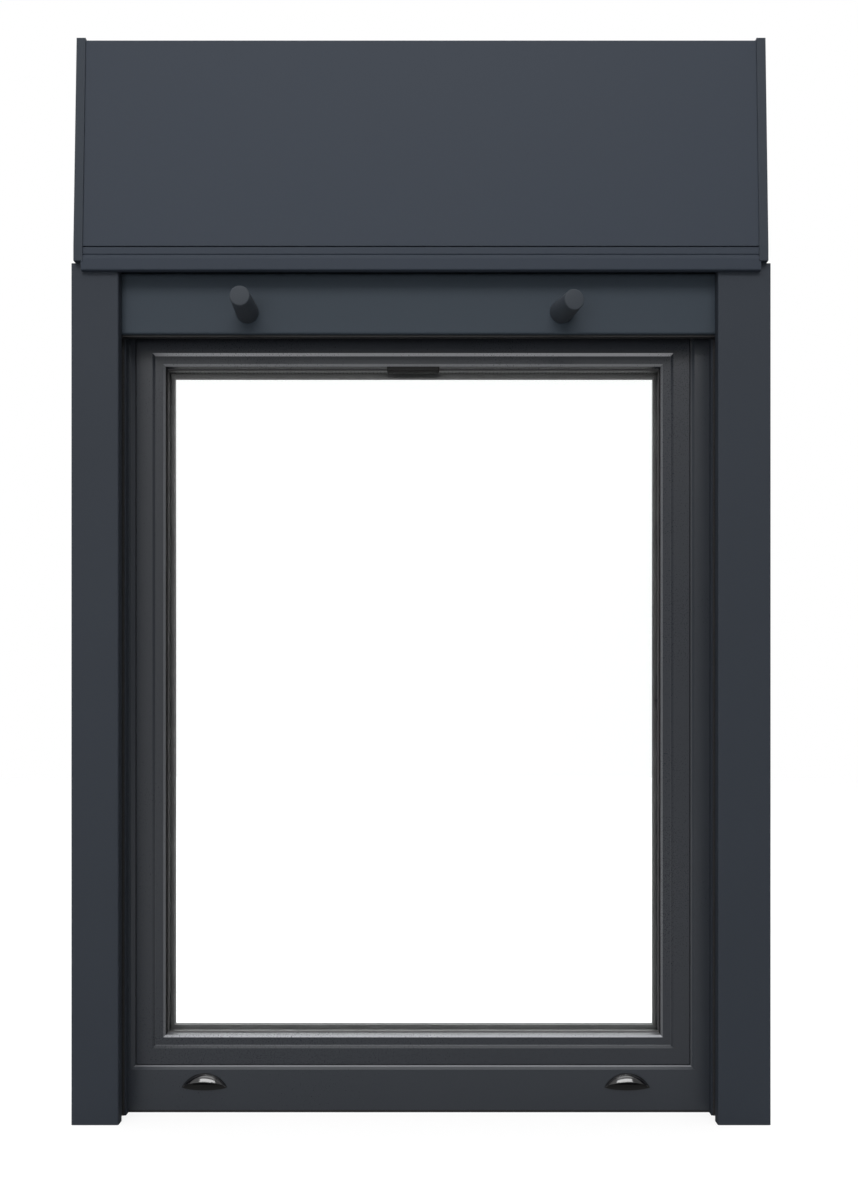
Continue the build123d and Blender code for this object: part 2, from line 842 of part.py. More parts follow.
os.makedirs("parts", exist_ok=True)
for name, shape in all_nodes().items():
    export_step(shape, f"parts/{name}.step")
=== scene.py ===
import math

import bmesh
import bpy
from mathutils import Matrix, Vector


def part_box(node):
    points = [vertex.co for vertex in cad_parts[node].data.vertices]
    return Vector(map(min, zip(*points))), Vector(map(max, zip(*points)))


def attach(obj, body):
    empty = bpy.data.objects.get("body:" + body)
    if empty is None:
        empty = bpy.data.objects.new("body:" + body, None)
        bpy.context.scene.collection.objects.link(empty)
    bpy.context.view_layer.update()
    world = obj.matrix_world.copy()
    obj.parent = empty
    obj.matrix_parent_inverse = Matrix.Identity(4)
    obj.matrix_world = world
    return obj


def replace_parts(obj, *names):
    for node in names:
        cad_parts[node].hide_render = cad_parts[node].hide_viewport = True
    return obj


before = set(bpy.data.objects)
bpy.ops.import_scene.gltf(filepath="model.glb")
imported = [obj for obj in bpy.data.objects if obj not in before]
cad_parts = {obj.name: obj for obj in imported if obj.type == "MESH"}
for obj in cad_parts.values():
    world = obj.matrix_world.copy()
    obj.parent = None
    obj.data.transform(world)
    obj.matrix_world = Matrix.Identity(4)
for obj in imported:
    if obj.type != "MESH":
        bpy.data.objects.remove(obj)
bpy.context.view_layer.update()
scene = bpy.context.scene
scene.view_settings.view_transform = "Standard"


# Fixed frame: four hollow aluminium bars, mitred and crimped together at the corners.
# Coated with a baked polyester powder in anthracite, satin, with a fine grainy skin that
# drifts a little in tone along a bar.
class Shade:
    """A number or colour that varies over a finish; sums on it become Math nodes."""

    def __init__(self, finish, socket):
        self.finish = finish
        self.socket = socket

    def sum(self, operation, first, second):
        return self.finish.node("ShaderNodeMath", {"operation": operation}, {0: first, 1: second})

    def __add__(self, other):
        return self.sum("ADD", self, other)

    def __radd__(self, other):
        return self.sum("ADD", other, self)

    def __sub__(self, other):
        return self.sum("SUBTRACT", self, other)

    def __rsub__(self, other):
        return self.sum("SUBTRACT", other, self)

    def __mul__(self, other):
        return self.sum("MULTIPLY", self, other)

    def __rmul__(self, other):
        return self.sum("MULTIPLY", other, self)


class Finish:
    """A material or the studio under construction: node() lays its nodes one by one, and
    surface() closes a material that is solid."""

    def __init__(self, owner):
        owner.use_nodes = True
        self.owner = owner
        self.tree = owner.node_tree
        self.tree.nodes.clear()

    def node(self, kind, settings=None, sockets=None, output=0):
        """Lays one node and gives back the output that is wanted from it."""
        made = self.tree.nodes.new(kind)
        for name, value in (settings or {}).items():
            setattr(made, name, value)
        for name, value in (sockets or {}).items():
            if isinstance(value, Shade):
                self.tree.links.new(value.socket, made.inputs[name])
            else:
                made.inputs[name].default_value = value
        return Shade(self, made.outputs[output]) if len(made.outputs) else made

    def place(self):
        """Where a point of the surface lies on the window."""
        return self.node("ShaderNodeTexCoord", output="Object")

    def facing(self):
        """The way that the surface is turned."""
        return self.node("ShaderNodeNewGeometry", output="True Normal")

    def along(self, arrow, direction):
        """How far an arrow reaches along a direction."""
        arrows = {0: arrow, 1: direction}
        return self.node("ShaderNodeVectorMath", {"operation": "DOT_PRODUCT"}, arrows, "Value")

    def test(self, operation, first, second, slack=0.0):
        """1 where the comparison holds and 0 elsewhere."""
        compared = {0: first, 1: second, 2: slack}
        return self.node("ShaderNodeMath", {"operation": operation}, compared)

    def ramp(self, value, start, end, low, high):
        """Eases from `low` to `high` while `value` goes from start to end."""
        ends = {"From Min": start, "From Max": end, "To Min": low, "To Max": high}
        easing = {"interpolation_type": "SMOOTHSTEP"}
        return self.node("ShaderNodeMapRange", easing, {"Value": value, **ends})

    def noise(self, size, detail=2.0):
        """Soft random pattern whose blotches are about `size` metres across."""
        pattern = {"Vector": self.place(), "Scale": 1 / size, "Detail": detail}
        return self.node("ShaderNodeTexNoise", {}, pattern)

    def cells(self, size, output, scatter=1.0):
        """Pattern of cells `size` metres across, each with its own colour and middle."""
        pattern = {"Vector": self.place(), "Scale": 1 / size, "Randomness": scatter}
        return self.node("ShaderNodeTexVoronoi", {}, pattern, output)

    def between(self, share, first, second):
        """A colour `share` of the way from the first to the second."""
        return self.node("ShaderNodeMix", {"data_type": "RGBA"}, {0: share, 6: first, 7: second}, 2)

    def bump(self, height, depth, strength, rounding=0.0):
        """Relief of the skin, with the edges of the piece rounded off by `rounding` metres."""
        relief = {"Strength": strength, "Distance": depth, "Height": height}
        if rounding:
            relief["Normal"] = self.node("ShaderNodeBevel", {"samples": 4}, {"Radius": rounding})
        return self.node("ShaderNodeBump", {}, relief)

    def surface(self, **sockets):
        """The one shader of a solid finish, with socket names written with underscores."""
        named = {name.replace("_", " "): value for name, value in sockets.items()}
        shader = self.node("ShaderNodeBsdfPrincipled", {}, named)
        self.node("ShaderNodeOutputMaterial", {}, {"Surface": shader})
        return self.owner


mm = 0.001
blotch_size = 160 * mm
speck_size = 1.1 * mm
grain_size = 0.4 * mm
grain_depth = 0.04 * mm
edge_round = 0.4 * mm
# Pale metal used as a painted highlight along some bevels.
painted_highlight_colour = (0.55, 0.56, 0.59, 1)
# Near black used as painted shade on the upright sides of the sash's lip.
painted_shade_colour = (0.006, 0.006, 0.007, 1)


def powder_coat(name, colour, roughness=0.58, drift=0.10, shine=0.2, painted_highlights=None, painted_shades=None):
    """Textured powder paint: the colour drifts by a share of itself over a few hand widths.
    The last two arguments give masks for a pale metallic painted highlight on chosen bevels and for
    a near black painted shade over chosen edges."""
    coat = Finish(bpy.data.materials.new(name))
    blotch = coat.noise(blotch_size, 3.0)
    speck = coat.noise(speck_size, 1.0)
    deep = (*[part * (1 - drift) for part in colour], 1)
    pale = (*[part * (1 + drift) for part in colour], 1)
    tone = coat.between(blotch * 0.7 + speck * 0.3, deep, pale)
    skin = speck + coat.noise(grain_size, 1.0) * 0.6
    grit = roughness + (blotch - 0.5) * 0.10 + (speck - 0.5) * 0.16
    highlight_share = 0.0
    # Painted highlight: pale metallic colour where the mask picks out bevels.
    if painted_highlights:
        highlight_share = painted_highlights(coat)
        tone = coat.between(highlight_share, tone, painted_highlight_colour)
    # Painted shade: near black laid over the edges that the mask picks out.
    if painted_shades:
        shade_share = painted_shades(coat)
        tone = coat.between(shade_share, tone, painted_shade_colour)
        grit = grit + shade_share * 0.5
    return coat.surface(
        Base_Color=tone,
        Roughness=grit,
        Normal=coat.bump(skin, grain_depth, 0.5, rounding=edge_round),
        Specular_IOR_Level=shine,
        Metallic=highlight_share,
    )


def dress(material, *names):
    """Gives a finish to nodes whose shape is right as it is."""
    for name in names:
        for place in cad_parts[name].material_slots:
            place.material = material


outdoors = (0, -1, 0)
indoors = (0, 1, 0)
upward = (0, 0, 1)
leftward = (-1, 0, 0)
bevel_turn = 0.707
bevel_slack = 0.1
rim_front = -27.8 * mm
# Strengths of the painted highlight on the frame's upward and leftward bevels.
sill_highlight = 0.28
jamb_highlight = 0.07


def bevels(coat):
    """1 on the bevels, which lie halfway between the front and a side."""
    return coat.test("COMPARE", coat.along(coat.facing(), outdoors), bevel_turn, bevel_slack)


def turned(coat, way):
    """1 on surfaces that face mostly one way."""
    return coat.test("GREATER_THAN", coat.along(coat.facing(), way), 0.5)


def frame_painted_highlight(coat):
    """Painted highlight: pale metal along the rim of the bevels, strongest on the sill's upward
    bevel and faint on bevels that face left.
    """
    rim = coat.test("GREATER_THAN", coat.along(coat.place(), indoors), rim_front)
    highlight_strength = turned(coat, upward) * sill_highlight + turned(coat, leftward) * jamb_highlight
    return bevels(coat) * rim * highlight_strength


# The frame paint carries a painted highlight along some of its bevels.
frame_paint = powder_coat("frame_paint", (0.032, 0.037, 0.046), 0.32, shine=0.6, painted_highlights=frame_painted_highlight)
dress(frame_paint, "frame_sill", "frame_head", "frame_left_jamb", "frame_right_jamb")


# Sill seal: a strip of black cellular rubber stuck in a groove under the sill.
# Its skin is dull and pocked with small closed cells.
bloom_size = 30 * mm


def rubber(name, colour=(0.012, 0.012, 0.013), cell=1.2 * mm, roughness=0.62, depth=0.06 * mm):
    """Dull rubber or plastic, faintly mottled, with a grain of the given cell size."""
    skin = Finish(bpy.data.materials.new(name))
    cells = skin.noise(cell)
    bloom = skin.noise(bloom_size, 3.0)
    tone = skin.between(bloom, (*colour, 1), (*[part * 1.9 for part in colour], 1))
    return skin.surface(
        Base_Color=tone,
        Roughness=roughness + (bloom - 0.5) * 0.2,
        Normal=skin.bump(cells, depth, 0.6),
    )


cellular_rubber = rubber("cellular_rubber", cell=1.6 * mm, roughness=0.8, depth=0.2 * mm)
dress(cellular_rubber, "sill_seal_strip")


# Drain caps: two glossy black hoods clipped over the drain slots of the sill, moulded in
# nylon with a thin wall. The water comes through the slot of a dull back plate and runs
# out by the open mouth under the hood.
hood_round = 26.1 * mm
hood_bow = 12.0 * mm
hood_rise = 14.4 * mm
hood_slope = 0.91
hood_wall = 1.4 * mm
hood_edge = 0.35 * mm
plate_drop = 3.0 * mm
plate_thickness = 1.0 * mm
slot_half = (12.0 * mm, 2.0 * mm)
slot_rise = 5.0 * mm
flow_size = 7 * mm
scuff_size = 0.9 * mm
merge_gap = 0.01 * mm
crease = math.radians(38)
centre = (0, 0, 0)


def put_together(name, shape, material, slot, *stands_for):
    """Makes a finished piece of the window from a shape and lets it stand for its nodes."""
    mesh = bpy.data.meshes.new(name)
    shape.to_mesh(mesh)
    shape.free()
    mesh.materials.append(material)
    mesh.shade_smooth()
    mesh.set_sharp_from_angle(angle=crease)
    made = bpy.data.objects.new(name, mesh)
    scene.collection.objects.link(made)
    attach(made, "root")
    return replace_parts(made, *stands_for)


def cut_away(shape, point, direction, remove=True):
    """Cuts along a plane and removes what lies on the side that it faces."""
    everything = shape.verts[:] + shape.edges[:] + shape.faces[:]
    bmesh.ops.bisect_plane(
        shape, geom=everything, plane_co=point, plane_no=direction, clear_outer=remove
    )


def quarter_turn(shape, axis):
    """Turns a whole shape by a quarter about an axis."""
    turn = Matrix.Rotation(math.pi / 2, 3, axis)
    bmesh.ops.rotate(shape, cent=centre, matrix=turn, verts=shape.verts)


def corners(grown):
    """The vertices among what an operator has made."""
    return [v for v in grown["geom"] if isinstance(v, bmesh.types.BMVert)]


def in_slot(face):
    """Whether a face of the back plate lies where the water comes out."""
    middle = face.calc_center_median()
    return abs(middle.x) < slot_half[0] and abs(middle.y - slot_rise) < slot_half[1]


nylon = Finish(bpy.data.materials.new("black_nylon"))
flow = nylon.noise(flow_size)
scuff = nylon.noise(scuff_size)
black_nylon = nylon.surface(
    Base_Color=nylon.between(flow, (0.004, 0.004, 0.005, 1), (0.008, 0.008, 0.009, 1)),
    Roughness=0.10 + (scuff - 0.5) * 0.08,
    IOR=1.8,
    Coat_Weight=1.0,
    Coat_IOR=1.6,
    Coat_Roughness=0.12,
    Normal=nylon.bump(flow, 0.1 * mm, 0.25),
)
dull_nylon = rubber("dull_nylon", (0.002, 0.002, 0.002), roughness=0.6)
for side in ("left", "right"):
    node = f"{side}_drain_cap"
    low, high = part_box(node)
    seat = ((low.x + high.x) / 2, high.y, low.z + plate_drop)
    hood = bmesh.new()
    bmesh.ops.create_uvsphere(hood, u_segments=96, v_segments=96, radius=1)
    quarter_turn(hood, "Y")
    bmesh.ops.scale(hood, vec=(hood_round, hood_bow, hood_round), verts=hood.verts)
    bmesh.ops.translate(hood, vec=(0, 0, hood_rise - hood_round), verts=hood.verts)
    cut_away(hood, centre, indoors)
    cut_away(hood, centre, (0, -hood_slope, -1))
    bmesh.ops.recalc_face_normals(hood, faces=hood.faces)
    bmesh.ops.translate(hood, vec=seat, verts=hood.verts)
    made = put_together(f"{side}_drain_hood", hood, black_nylon, "black_gloss", node)
    wall = made.modifiers.new("wall", "SOLIDIFY")
    wall.thickness = hood_wall
    wall.offset = -1
    edge = made.modifiers.new("edge", "BEVEL")
    edge.width = hood_edge
    edge.segments = 2
    edge.limit_method = "ANGLE"
    edge.angle_limit = crease

    plate = bmesh.new()
    bmesh.ops.create_circle(plate, cap_ends=True, segments=128, radius=hood_round)
    bmesh.ops.translate(plate, vec=(0, hood_rise - hood_round, 0), verts=plate.verts)
    cut_away(plate, centre, (0, -1, 0))
    chin = corners(bmesh.ops.duplicate(plate, geom=plate.faces[:]))
    bmesh.ops.scale(plate, vec=(1, -plate_drop / hood_rise, 1), verts=chin)
    bmesh.ops.remove_doubles(plate, verts=plate.verts, dist=merge_gap)
    for across, rise in ((-1, 0), (1, 0), (0, -1), (0, 1)):
        point = (across * slot_half[0], slot_rise + rise * slot_half[1], 0)
        cut_away(plate, point, (across, rise, 0), remove=False)
    mouth = [f for f in plate.faces if in_slot(f)]
    bmesh.ops.delete(plate, geom=mouth, context="FACES")
    front = corners(bmesh.ops.extrude_face_region(plate, geom=plate.faces[:]))
    bmesh.ops.translate(plate, vec=(0, 0, plate_thickness), verts=front)
    bmesh.ops.recalc_face_normals(plate, faces=plate.faces)
    quarter_turn(plate, "X")
    bmesh.ops.translate(plate, vec=seat, verts=plate.verts)
    put_together(f"{side}_drain_plate", plate, dull_nylon, "black_gloss", node)


# Sash: four hollow bars of the same aluminium, mitred, with a stepped face and a lip that
# laps over the glass, and four clipped beads that hold the glass from the room side.
step_depth = -24.1 * mm
lip_front = -22.1 * mm
lip_rear = -13.9 * mm
# Strengths of the painted highlights on the sash's bevels and on its lip.
step_highlight = 0.25
lip_highlight = 0.42
downward = (0, 0, -1)
rightward = (1, 0, 0)


def within(coat, front, rear):
    """1 on what lies between two depths, and 0 elsewhere."""
    depth = coat.along(coat.place(), indoors)
    return coat.test("GREATER_THAN", depth, front) * coat.test("LESS_THAN", depth, rear)


def sash_painted_highlight(coat):
    """Painted highlight: pale metal on the inner bevels, strongest on the step bevel that faces
    down along the top rail, and on the lip's upward faces.
    """
    inner = within(coat, step_depth, lip_rear)
    outer = 1 - inner * (1 - step_highlight)
    bevel_highlight = inner * step_highlight + turned(coat, downward) * outer
    return bevels(coat) * bevel_highlight + turned(coat, upward) * inner * lip_highlight


def lip_painted_shade(coat):
    """Painted shade: the upright side faces of the lip are painted near black and made rougher."""
    sideways = coat.along(coat.facing(), rightward)
    return coat.test("GREATER_THAN", sideways * sideways, 0.9) * within(coat, lip_front, lip_rear)


# The sash paint carries painted highlights on its bevels and lip and painted shade on the lip's
# upright sides.
sash_paint = powder_coat(
    "sash_paint", (0.030, 0.034, 0.042), 0.30, shine=0.6, painted_highlights=sash_painted_highlight, painted_shades=lip_painted_shade
)
dress(sash_paint, "sash_bottom_rail", "sash_top_rail", "sash_left_stile", "sash_right_stile")
dress(sash_paint, "glazing_bead_bottom", "glazing_bead_top")
dress(sash_paint, "glazing_bead_left", "glazing_bead_right")


# Vent cap: a black nylon plug pressed into a slot of the top rail's lip, which lets the
# glazing rebate breathe. Its face is sunk and ribbed.
vent_edge = 0.7 * mm
vent_border = 0.5 * mm
vent_sink = 0.6 * mm
ribs_beside = 7
rib_pitch = 3.4 * mm
rib_width = 1.0 * mm
rib_depth = 1.4 * mm
rib_seat = 0.8 * mm
rib_margin = 1.2 * mm
vent_low, vent_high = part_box("sash_vent_cap")
vent_size = vent_high - vent_low
cap = bmesh.new()
bmesh.ops.create_cube(cap, size=1)
bmesh.ops.scale(cap, vec=vent_size, verts=cap.verts)
bmesh.ops.bevel(
    cap, geom=cap.edges[:], offset=vent_edge, affect="EDGES", segments=2, profile=0.5, material=-1
)
face = min(cap.faces, key=lambda f: f.calc_center_median().y)
bmesh.ops.inset_region(cap, faces=[face], thickness=vent_border, depth=-vent_sink)
for step in range(-ribs_beside, ribs_beside + 1):
    rib = bmesh.ops.create_cube(cap, size=1)["verts"]
    bmesh.ops.scale(cap, vec=(rib_width, rib_depth, vent_size.z - 2 * rib_margin), verts=rib)
    bmesh.ops.translate(cap, vec=(step * rib_pitch, rib_seat - vent_size.y / 2, 0), verts=rib)
bmesh.ops.translate(cap, vec=(vent_low + vent_high) / 2, verts=cap.verts)
put_together("vent_plug", cap, dull_nylon, "black_gloss", "sash_vent_cap")


# Seals of the sash: extruded rubber bands with vulcanised corners and rounded noses. A dark
# one stands between lip and glass, a grey one between glass and beads, and a black one
# where the sash shuts.
seal_cell = 0.6 * mm
glazing_band = 8.0 * mm
glazing_nose = 0.7 * mm
shutting_band = 6.0 * mm
shutting_nose = 1.4 * mm


def rubber_band(name, node, width, nose, material):
    """A mitred band round the glass with a rounded nose along its free edges."""
    low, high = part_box(node)
    band = bmesh.new()
    bmesh.ops.create_grid(band, x_segments=1, y_segments=1, size=0.5)
    bmesh.ops.scale(band, vec=(high.x - low.x, high.z - low.z, 1), verts=band.verts)
    rim = bmesh.ops.inset_region(
        band, faces=band.faces[:], thickness=width, use_boundary=True, use_even_offset=True
    )
    hole = [f for f in band.faces if f not in rim["faces"]]
    bmesh.ops.delete(band, geom=hole, context="FACES")
    raised = corners(bmesh.ops.extrude_face_region(band, geom=band.faces[:]))
    bmesh.ops.translate(band, vec=(0, 0, high.y - low.y), verts=raised)
    bmesh.ops.recalc_face_normals(band, faces=band.faces)
    rims = [
        e for e in band.edges
        if e.calc_face_angle(0) > crease and abs(e.verts[0].co.z - e.verts[1].co.z) < nose
    ]
    bmesh.ops.bevel(
        band, geom=rims, offset=nose, affect="EDGES", segments=3, profile=0.5, material=-1
    )
    quarter_turn(band, "X")
    seat = ((low.x + high.x) / 2, high.y, (low.z + high.z) / 2)
    bmesh.ops.translate(band, vec=seat, verts=band.verts)
    put_together(name, band, material, "gasket_rubber", node)


seal_rubber = rubber("seal_rubber", cell=seal_cell)
lip_rubber = rubber("lip_rubber", (0.060, 0.060, 0.062), seal_cell, 0.55)
grey_rubber = rubber("grey_rubber", (0.21, 0.21, 0.215), seal_cell, 0.5)
outer_gasket, inner_gasket = "outer_glazing_gasket", "inner_glazing_gasket"
rubber_band("outer_glazing_seal", outer_gasket, glazing_band, glazing_nose, lip_rubber)
rubber_band("inner_glazing_seal", inner_gasket, glazing_band, glazing_nose, grey_rubber)
rubber_band("shutting_seal", "sash_rebate_seal", shutting_band, shutting_nose, seal_rubber)


# Sealed glazing unit: two panes of clear float glass, 4 mm each, with a very faint green
# and a slight waviness, held apart by a hollow grey spacer of metal. Its inner face is
# pierced with small holes, so that the drying beads in it reach the air between the panes.
film_size = 220 * mm
film_depth = 0.4 * mm
pore_pitch = 4 * mm
pore_reach = 0.14
dull_size = 2 * mm
glass = Finish(bpy.data.materials.new("float_glass"))
film = glass.noise(film_size, 3.0)
float_glass = glass.surface(
    Base_Color=(0.985, 0.995, 0.99, 1),
    Roughness=0.0,
    Transmission_Weight=1.0,
    IOR=1.5,
    Normal=glass.bump(film, film_depth, 0.04),
)
dress(float_glass, "glass_outer_pane", "glass_inner_pane")

spacer = Finish(bpy.data.materials.new("spacer_metal"))
pore = spacer.test("LESS_THAN", spacer.cells(pore_pitch, "Distance", scatter=0.0), pore_reach)
spacer_metal = spacer.surface(
    Base_Color=spacer.between(pore, (0.45, 0.45, 0.455, 1), (0.03, 0.03, 0.03, 1)),
    Metallic=0.85,
    Roughness=0.42 + (spacer.noise(dull_size) - 0.5) * 0.15,
    Normal=spacer.bump(1 - pore, 0.2 * mm, 0.5),
)
dress(spacer_metal, "glass_spacer")


# Handle: a die cast lever on a plate with round ends, on the room side of the stile that
# opens, coated in nearly the same powder as the sash.
# The rings of the grip, from its tip up past the spindle, in millimetres.
grip_rings = (
    # below the spindle, half the width, half the depth
    (118.0, 2.2, 1.4),
    (116.0, 5.6, 3.2),
    (111.0, 7.9, 4.5),
    (100.0, 8.6, 5.1),
    (55.0, 9.4, 5.3),
    (10.0, 10.8, 5.5),
    (0.0, 11.0, 5.5),
    (-6.0, 9.2, 4.9),
    (-9.5, 5.6, 3.2),
    (-11.0, 2.2, 1.4),
)
grip_crown = 11.0 * mm
grip_half_depth = 5.5 * mm
neck_foot = 9.0 * mm
neck_top = 8.2 * mm
neck_length = 29.0 * mm
neck_middle = 17.0 * mm
handle_paint = powder_coat("handle_paint", (0.036, 0.040, 0.048), 0.33, shine=0.6)
dress(handle_paint, "handle_rosette")
low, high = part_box("handle_lever")
spindle = ((low.x + high.x) / 2, high.y - grip_half_depth, high.z - grip_crown)
lever = bmesh.new()
drop, half, depth = grip_rings[0]
ring = bmesh.ops.create_circle(lever, cap_ends=True, segments=24, radius=1)["verts"]
bmesh.ops.scale(lever, vec=(half * mm, depth * mm, 1), verts=ring)
bmesh.ops.translate(lever, vec=(0, 0, -drop * mm), verts=ring)
bmesh.ops.duplicate(lever, geom=lever.faces[:])
end = lever.faces[:1]
for next_drop, next_half, next_depth in grip_rings[1:]:
    grown = bmesh.ops.extrude_face_region(lever, geom=end)
    bmesh.ops.delete(lever, geom=end, context="FACES_ONLY")
    end = [f for f in grown["geom"] if isinstance(f, bmesh.types.BMFace)]
    ring = corners(grown)
    bmesh.ops.scale(lever, vec=(next_half / half, next_depth / depth, 1), verts=ring)
    bmesh.ops.translate(lever, vec=(0, 0, (drop - next_drop) * mm), verts=ring)
    drop, half, depth = next_drop, next_half, next_depth
bmesh.ops.remove_doubles(lever, verts=lever.verts, dist=merge_gap)
bmesh.ops.create_cone(
    lever, cap_ends=True, segments=32, radius1=neck_foot, radius2=neck_top, depth=neck_length,
    matrix=Matrix.Translation((0, -neck_middle, 0)) @ Matrix.Rotation(-math.pi / 2, 4, "X"),
)
bmesh.ops.recalc_face_normals(lever, faces=lever.faces)
bmesh.ops.translate(lever, vec=spindle, verts=lever.verts)
grip = put_together("handle_grip", lever, handle_paint, "handle_paint", "handle_lever")
soft = grip.modifiers.new("soft", "SUBSURF")
soft.levels = 1
soft.render_levels = 1


# Hinges: two steel hinges on the room side, each two knuckles on a pin with a leaf on the
# sash and a leaf on the frame, coated in the same powder as the handle.
dress(handle_paint, "upper_hinge", "lower_hinge")


# Guides: two extruded aluminium channels, one on each jamb, in which the curtain runs.
# They stand proud of the window, in a rougher anthracite that looks a little bluer.
guide_paint = powder_coat("guide_paint", (0.035, 0.042, 0.054))
dress(guide_paint, "left_guide", "right_guide")


# Brushes: strips of grey polypropylene pile pushed into both lips of each guide, which
# keep the slats from rattling. Each strip is a woven back with rows of short tufts.
strand_size = 0.5 * mm
back_thickness = 0.5 * mm
strip_thickness = 1.2 * mm
row_pitch = 1.5 * mm
tuft_pitch = 3.6 * mm
tuft_foot = 0.45 * mm
tuft_top = 0.7 * mm
pile = Finish(bpy.data.materials.new("brush_pile"))
strand = pile.noise(strand_size, 3.0)
brush_pile = pile.surface(
    Base_Color=pile.between(strand, (0.012, 0.012, 0.013, 1), (0.06, 0.06, 0.064, 1)),
    Roughness=0.75 + (strand - 0.5) * 0.2,
    Normal=pile.bump(strand, 0.2 * mm, 0.8),
)
for side in ("left", "right"):
    node = f"{side}_guide_brush"
    low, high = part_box(node)
    middle = (low.x + high.x) / 2
    length = high.z - low.z
    brush = bmesh.new()
    for wall_y, way in ((low.y, 1), (high.y, -1)):
        back = bmesh.ops.create_cube(brush, size=1)["verts"]
        bmesh.ops.scale(brush, vec=(high.x - low.x, back_thickness, length), verts=back)
        seat = (middle, wall_y + way * back_thickness / 2, (low.z + high.z) / 2)
        bmesh.ops.translate(brush, vec=seat, verts=back)
        upright = Matrix.Rotation(-way * math.pi / 2, 4, "X")
        for row in (-1, 0, 1):
            for step in range(int(length / tuft_pitch)):
                height = low.z + tuft_pitch * (step + 0.5 + 0.25 * (row % 2))
                foot = (middle + row * row_pitch, wall_y + way * strip_thickness / 2, height)
                bmesh.ops.create_cone(
                    brush, cap_ends=True, segments=5, depth=strip_thickness,
                    radius1=tuft_foot, radius2=tuft_top,
                    matrix=Matrix.Translation(foot) @ upright,
                )
    put_together(f"{side}_pile", brush, brush_pile, "brush_pile", node)


# Bottom bar: the curtain's hollow end bar, extruded and coated, with a soft strip under it
# that closes on the sill. The rolled slats above it have the same coat.
curtain_paint = powder_coat("curtain_paint", (0.041, 0.054, 0.070))
dress(curtain_paint, "shutter_bottom_bar", "shutter_curtain")
dress(seal_rubber, "bottom_bar_seal")


# Stop pegs: two tapered rubber buffers screwed through the bottom bar, which stop it under
# the box. The right one has worked loose and hangs askew.
peg_length = 40.0 * mm
peg_base = 12.0 * mm
peg_tip = 9.9 * mm
peg_edge = 1.3 * mm
peg_height = 818.0 * mm
peg_places = (
    # side, place across, and degrees that it droops and swings
    ("left", -176.0 * mm, 0.0, 0.0),
    ("right", 142.0 * mm, 5.0, 11.5),
)
wear_size = 6 * mm
pit_size = 0.7 * mm
peg_skin = Finish(bpy.data.materials.new("peg_rubber"))
wear = peg_skin.noise(wear_size, 3.0)
pits = peg_skin.noise(pit_size, 1.0)
peg_rubber = peg_skin.surface(
    Base_Color=peg_skin.between(wear, (0.034, 0.042, 0.053, 1), (0.044, 0.053, 0.066, 1)),
    Roughness=0.7 + (wear - 0.5) * 0.2,
    Normal=peg_skin.bump(pits, 0.06 * mm, 0.5),
)
bar_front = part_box("shutter_bottom_bar")[0].y
for side, across, droop, swing in peg_places:
    peg = bmesh.new()
    bmesh.ops.create_cone(
        peg, cap_ends=True, segments=64, radius1=peg_base, radius2=peg_tip, depth=peg_length
    )
    bmesh.ops.translate(peg, vec=(0, 0, peg_length / 2), verts=peg.verts)
    rim = [e for e in peg.edges if min(v.co.z for v in e.verts) > peg_length * 0.99]
    bmesh.ops.bevel(
        peg, geom=rim, offset=peg_edge, affect="EDGES", segments=4, profile=0.5, material=-1
    )
    quarter_turn(peg, "X")
    root = [v for v in peg.verts if abs(v.co.y) < merge_gap]
    bmesh.ops.translate(peg, vec=(0, peg_base, 0), verts=root)
    sideways = Matrix.Rotation(math.radians(swing), 3, "Z")
    turn = sideways @ Matrix.Rotation(math.radians(droop), 3, "X")
    bmesh.ops.rotate(peg, cent=centre, matrix=turn, verts=peg.verts)
    cut_away(peg, centre, indoors)
    bmesh.ops.holes_fill(peg, edges=peg.edges[:])
    bmesh.ops.recalc_face_normals(peg, faces=peg.faces)
    bmesh.ops.translate(peg, vec=(across, bar_front, peg_height), verts=peg.verts)
    put_together(f"{side}_buffer", peg, peg_rubber, "peg_rubber", f"{side}_stop_peg")


# Axle and bearings: an eight-sided tube of galvanised steel that carries the rolled
# curtain, turning on moulded plugs in its ends.
spangle_size = 9 * mm
steel = Finish(bpy.data.materials.new("galvanised_steel"))
spangle = steel.cells(spangle_size, "Color")
flake = steel.node("ShaderNodeSeparateColor", {}, {"Color": spangle})
galvanised = steel.surface(
    Base_Color=steel.between(flake, (0.34, 0.35, 0.36, 1), (0.48, 0.49, 0.50, 1)),
    Metallic=1.0,
    Roughness=0.36 + (flake - 0.5) * 0.18,
)
dress(galvanised, "shutter_axle")
bearing_nylon = rubber("bearing_nylon", (0.02, 0.02, 0.021), roughness=0.45)
dress(bearing_nylon, "left_axle_bearing", "right_axle_bearing")


# Shutter box: folded aluminium panels with a moulded lower lip, closed at both ends by
# cast cheeks that stand a millimetre proud. All in anthracite powder, a little bluer than
# the frame's.
box_paint = powder_coat("box_paint", (0.038, 0.048, 0.066), 0.56, drift=0.08)
dress(box_paint, "box_front_panel", "box_front_lip", "box_top_panel", "box_rear_panel")
dress(box_paint, "box_underside_panel", "box_base_rail")
cheek_paint = powder_coat("cheek_paint", (0.037, 0.046, 0.060), 0.56)
dress(cheek_paint, "box_left_end_cap", "box_right_end_cap")


